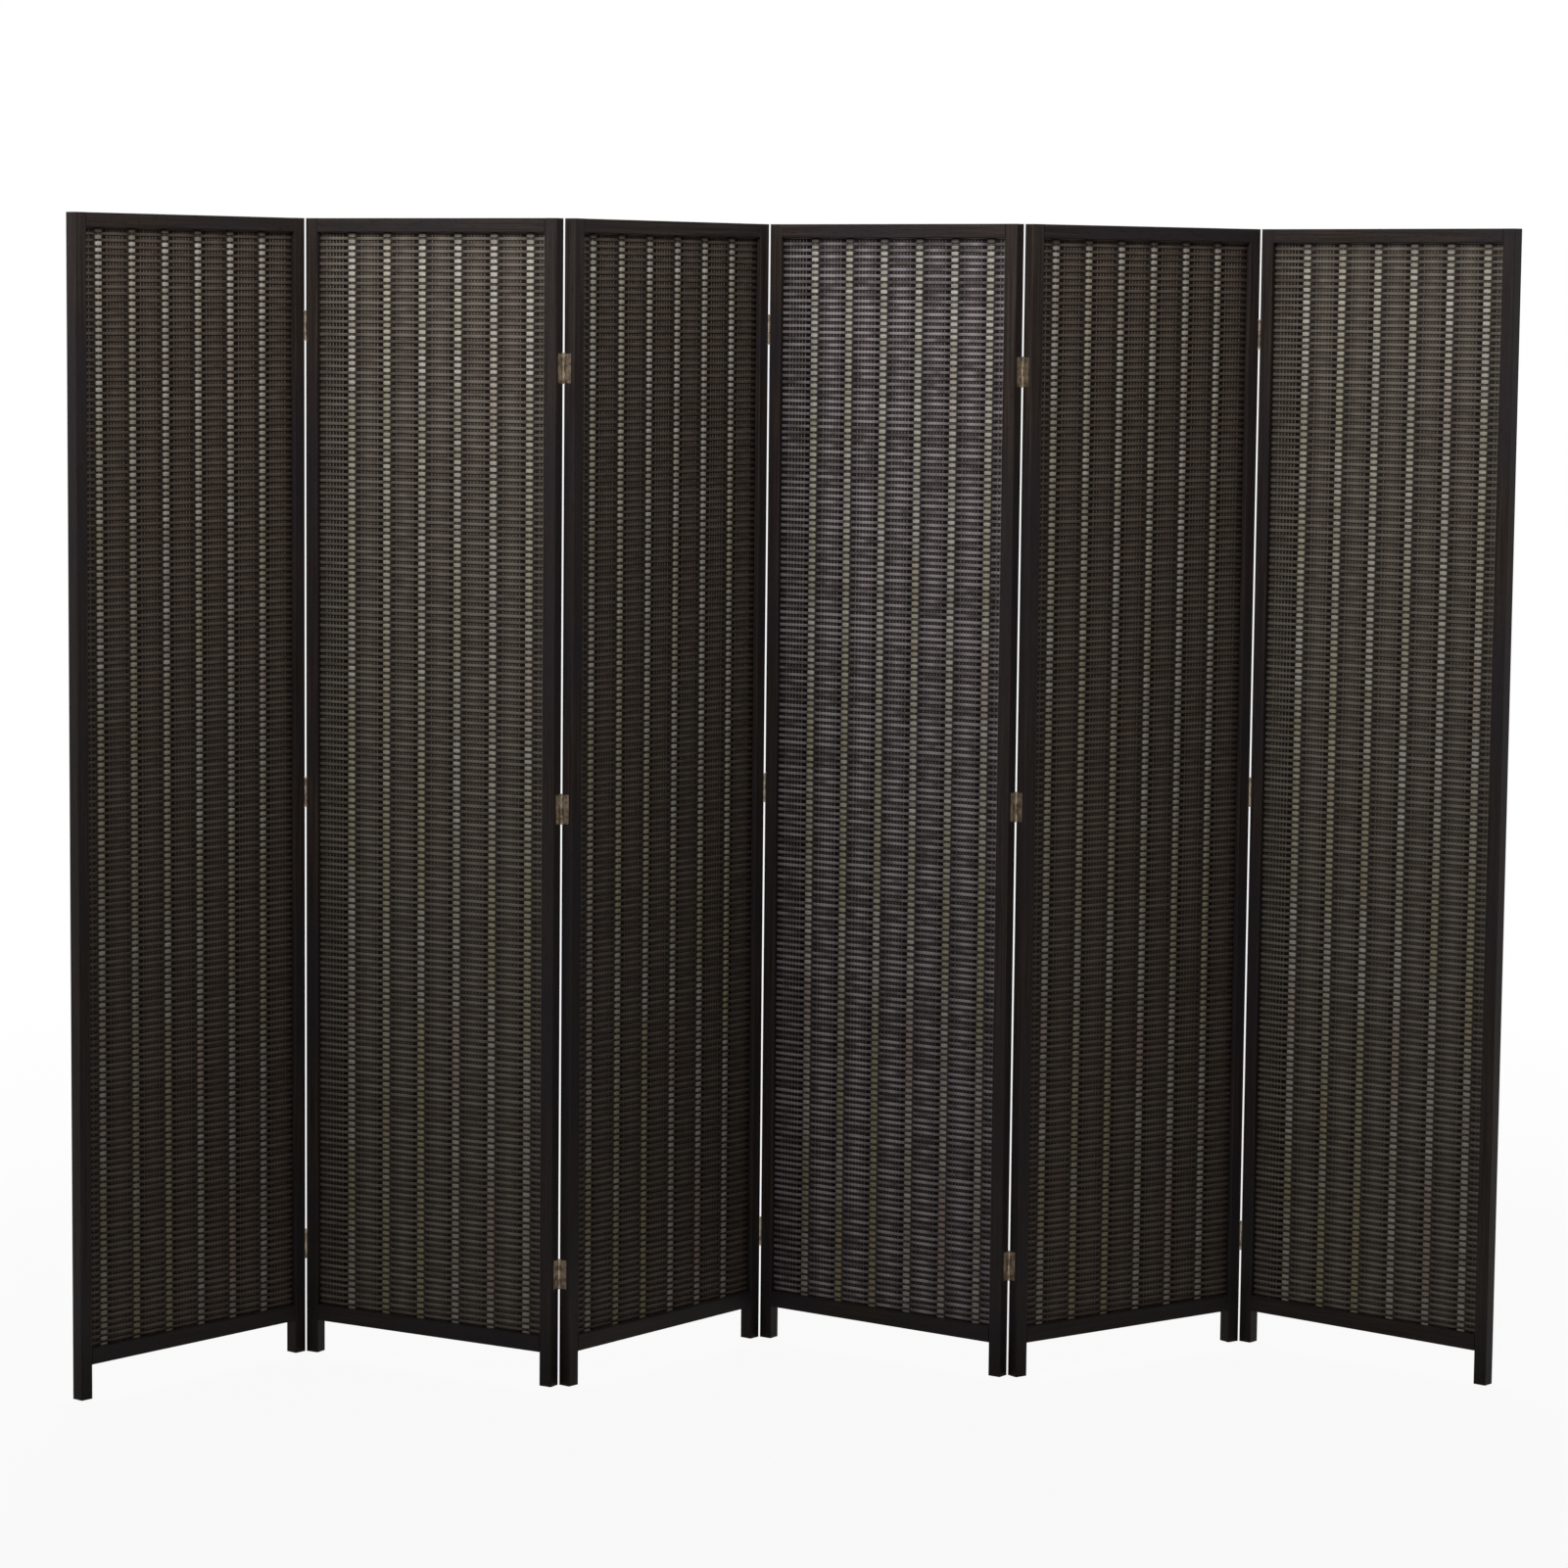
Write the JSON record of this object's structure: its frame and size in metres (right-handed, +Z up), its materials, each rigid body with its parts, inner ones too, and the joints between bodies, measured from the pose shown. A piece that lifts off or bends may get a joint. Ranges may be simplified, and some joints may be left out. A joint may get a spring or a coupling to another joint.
{
  "type": "folding screen",
  "caption": "Folding screen with dark timber frames on short legs, woven slat mats and butt hinges, standing in a zigzag.",
  "frame": {"origin": "on the floor, at the centre of the standing screen's bounding box in plan", "axes": "+Z up, +X along the screen from its left end to its right end as seen from the front, +Y towards the back; the front faces -Y"},
  "size_m": [2.144, 0.3972, 1.75],
  "materials": {
    "stained_wood": "satin near-black brown stain over fine straight grain",
    "woven_slats": "matt woven grey-brown slats with dark gaps and paler short floats in narrow columns",
    "aged_brass": "dull aged brass"
  },
  "bodies": {
    "panel_1": {"panel_1_left_stile": "stained_wood", "panel_1_right_stile": "stained_wood", "panel_1_top_rail": "stained_wood", "panel_1_bottom_rail": "stained_wood", "panel_1_woven_mat": "woven_slats", "fold_1_2_top_knuckle_leaf": "aged_brass", "fold_1_2_middle_knuckle_leaf": "aged_brass", "fold_1_2_bottom_knuckle_leaf": "aged_brass"},
    "panel_2": {"panel_2_left_stile": "stained_wood", "panel_2_right_stile": "stained_wood", "panel_2_top_rail": "stained_wood", "panel_2_bottom_rail": "stained_wood", "panel_2_woven_mat": "woven_slats", "fold_1_2_top_pin_leaf": "aged_brass", "fold_1_2_middle_pin_leaf": "aged_brass", "fold_1_2_bottom_pin_leaf": "aged_brass", "fold_2_3_top_pin_leaf": "aged_brass", "fold_2_3_middle_pin_leaf": "aged_brass", "fold_2_3_bottom_pin_leaf": "aged_brass"},
    "panel_3": {"panel_3_left_stile": "stained_wood", "panel_3_right_stile": "stained_wood", "panel_3_top_rail": "stained_wood", "panel_3_bottom_rail": "stained_wood", "panel_3_woven_mat": "woven_slats", "fold_2_3_top_knuckle_leaf": "aged_brass", "fold_2_3_middle_knuckle_leaf": "aged_brass", "fold_2_3_bottom_knuckle_leaf": "aged_brass", "fold_3_4_top_knuckle_leaf": "aged_brass", "fold_3_4_middle_knuckle_leaf": "aged_brass", "fold_3_4_bottom_knuckle_leaf": "aged_brass"},
    "panel_4": {"panel_4_left_stile": "stained_wood", "panel_4_right_stile": "stained_wood", "panel_4_top_rail": "stained_wood", "panel_4_bottom_rail": "stained_wood", "panel_4_woven_mat": "woven_slats", "fold_3_4_top_pin_leaf": "aged_brass", "fold_3_4_middle_pin_leaf": "aged_brass", "fold_3_4_bottom_pin_leaf": "aged_brass", "fold_4_5_top_pin_leaf": "aged_brass", "fold_4_5_middle_pin_leaf": "aged_brass", "fold_4_5_bottom_pin_leaf": "aged_brass"},
    "panel_5": {"panel_5_left_stile": "stained_wood", "panel_5_right_stile": "stained_wood", "panel_5_top_rail": "stained_wood", "panel_5_bottom_rail": "stained_wood", "panel_5_woven_mat": "woven_slats", "fold_4_5_top_knuckle_leaf": "aged_brass", "fold_4_5_middle_knuckle_leaf": "aged_brass", "fold_4_5_bottom_knuckle_leaf": "aged_brass", "fold_5_6_top_knuckle_leaf": "aged_brass", "fold_5_6_middle_knuckle_leaf": "aged_brass", "fold_5_6_bottom_knuckle_leaf": "aged_brass"},
    "panel_6": {"panel_6_left_stile": "stained_wood", "panel_6_right_stile": "stained_wood", "panel_6_top_rail": "stained_wood", "panel_6_bottom_rail": "stained_wood", "panel_6_woven_mat": "woven_slats", "fold_5_6_top_pin_leaf": "aged_brass", "fold_5_6_middle_pin_leaf": "aged_brass", "fold_5_6_bottom_pin_leaf": "aged_brass"}
  },
  "joints": [
    {"name": "fold_1_2", "type": "hinge", "parent": "panel_1", "child": "panel_2", "pos_m": [-0.7326, 0.1148, 0.875], "axis": [0, 0, -1], "range_deg": [-79, 101]},
    {"name": "fold_2_3", "type": "hinge", "parent": "panel_2", "child": "panel_3", "pos_m": [-0.34942, -0.12739, 0.875], "axis": [0, 0, 1], "range_deg": [-81, 99]},
    {"name": "fold_3_4", "type": "hinge", "parent": "panel_3", "child": "panel_4", "pos_m": [-0.01948, 0.18346, 0.875], "axis": [0, 0, -1], "range_deg": [-86.5, 93.5]},
    {"name": "fold_4_5", "type": "hinge", "parent": "panel_4", "child": "panel_5", "pos_m": [0.33873, -0.09433, 0.875], "axis": [0, 0, 1], "range_deg": [-71.5, 108.5]},
    {"name": "fold_5_6", "type": "hinge", "parent": "panel_5", "child": "panel_6", "pos_m": [0.73788, 0.12053, 0.875], "axis": [0, 0, -1], "range_deg": [-76, 104]}
  ]
}
